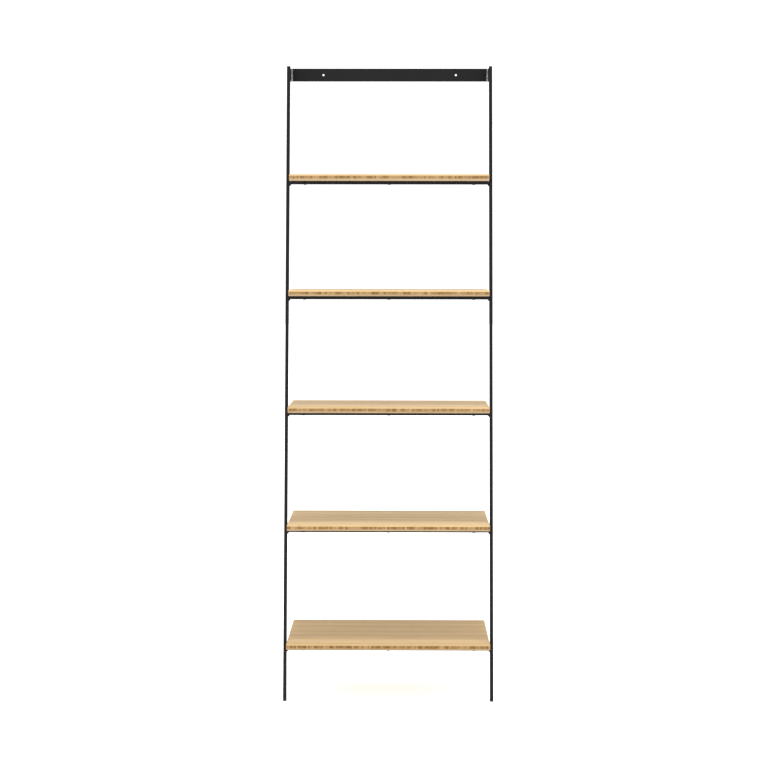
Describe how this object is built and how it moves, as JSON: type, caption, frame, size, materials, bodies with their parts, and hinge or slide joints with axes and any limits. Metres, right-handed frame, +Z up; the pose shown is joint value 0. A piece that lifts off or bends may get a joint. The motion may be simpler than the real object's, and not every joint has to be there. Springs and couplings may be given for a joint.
{
  "type": "ladder shelf",
  "caption": "Slim black steel ladder with bamboo boards that leans on a wall; a folded top rail is screwed to the wall.",
  "frame": {"origin": "on the floor, at the middle of the shelf's width and depth", "axes": "+Z up, the shelf faces -Y and its back rests on the wall at y = +0.175"},
  "size_m": [0.6, 0.35, 1.82],
  "materials": {
    "black_powder_coat": "matt black powder coat with a fine texture",
    "bamboo_face": "light natural bamboo, strips along the board, clear satin lacquer",
    "bamboo_core": "browner bamboo core, strips across the board with end grain at the front edge",
    "black_screw": "black zinc, satin",
    "foot_rubber": "matt black rubber"
  },
  "bodies": {
    "root": {"left_upright": "black_powder_coat", "right_upright": "black_powder_coat", "left_foot_pad": "foot_rubber", "right_foot_pad": "foot_rubber", "rung_1": "black_powder_coat", "rung_welds_1": "black_powder_coat", "board_1_top_ply": "bamboo_face", "board_1_core": "bamboo_core", "board_1_bottom_ply": "bamboo_face", "board_screws_1": "black_screw", "rung_2": "black_powder_coat", "rung_welds_2": "black_powder_coat", "board_2_top_ply": "bamboo_face", "board_2_core": "bamboo_core", "board_2_bottom_ply": "bamboo_face", "board_screws_2": "black_screw", "rung_3": "black_powder_coat", "rung_welds_3": "black_powder_coat", "board_3_top_ply": "bamboo_face", "board_3_core": "bamboo_core", "board_3_bottom_ply": "bamboo_face", "board_screws_3": "black_screw", "rung_4": "black_powder_coat", "rung_welds_4": "black_powder_coat", "board_4_top_ply": "bamboo_face", "board_4_core": "bamboo_core", "board_4_bottom_ply": "bamboo_face", "board_screws_4": "black_screw", "rung_5": "black_powder_coat", "rung_welds_5": "black_powder_coat", "board_5_top_ply": "bamboo_face", "board_5_core": "bamboo_core", "board_5_bottom_ply": "bamboo_face", "board_screws_5": "black_screw", "wall_rail": "black_powder_coat", "arm_screws": "black_screw"}
  },
  "joints": []
}
